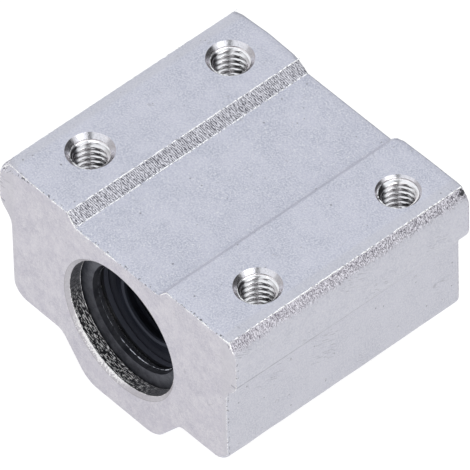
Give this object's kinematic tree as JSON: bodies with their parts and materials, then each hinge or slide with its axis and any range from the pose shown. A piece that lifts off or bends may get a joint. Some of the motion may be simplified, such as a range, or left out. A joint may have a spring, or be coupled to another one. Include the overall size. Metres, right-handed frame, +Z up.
{
  "type": "linear bearing block",
  "caption": "Aluminium housing with mounting pads on top that holds a sealed recirculating ball bushing for a round shaft.",
  "frame": {"origin": "middle of the shaft bore, on its axis", "axes": "+Y along the shaft, +Z up out of the mounting pads, +X across the block"},
  "size_m": [0.034, 0.03, 0.0222],
  "materials": {
    "housing_aluminium": "fine blasted matte, bright cut edges",
    "bearing_steel": "ground",
    "cage_plastic": "moulded",
    "ball_steel": "polished",
    "case_steel": "stamped",
    "seal_rubber": "oiled, glossy",
    "ring_steel": "spring steel",
    "circlip_steel": "dark phosphated"
  },
  "bodies": {
    "root": {"housing": "housing_aluminium", "bearing_sleeve": "bearing_steel", "ball_cage": "cage_plastic", "loaded_balls_1": "ball_steel", "return_balls_1": "ball_steel", "turn_balls_1": "ball_steel", "loaded_balls_2": "ball_steel", "return_balls_2": "ball_steel", "turn_balls_2": "ball_steel", "loaded_balls_3": "ball_steel", "return_balls_3": "ball_steel", "turn_balls_3": "ball_steel", "loaded_balls_4": "ball_steel", "return_balls_4": "ball_steel", "turn_balls_4": "ball_steel", "front_seal_case": "case_steel", "front_seal_lip": "seal_rubber", "front_snap_ring": "ring_steel", "front_circlip": "circlip_steel", "rear_seal_case": "case_steel", "rear_seal_lip": "seal_rubber", "rear_snap_ring": "ring_steel", "rear_circlip": "circlip_steel"}
  },
  "joints": []
}
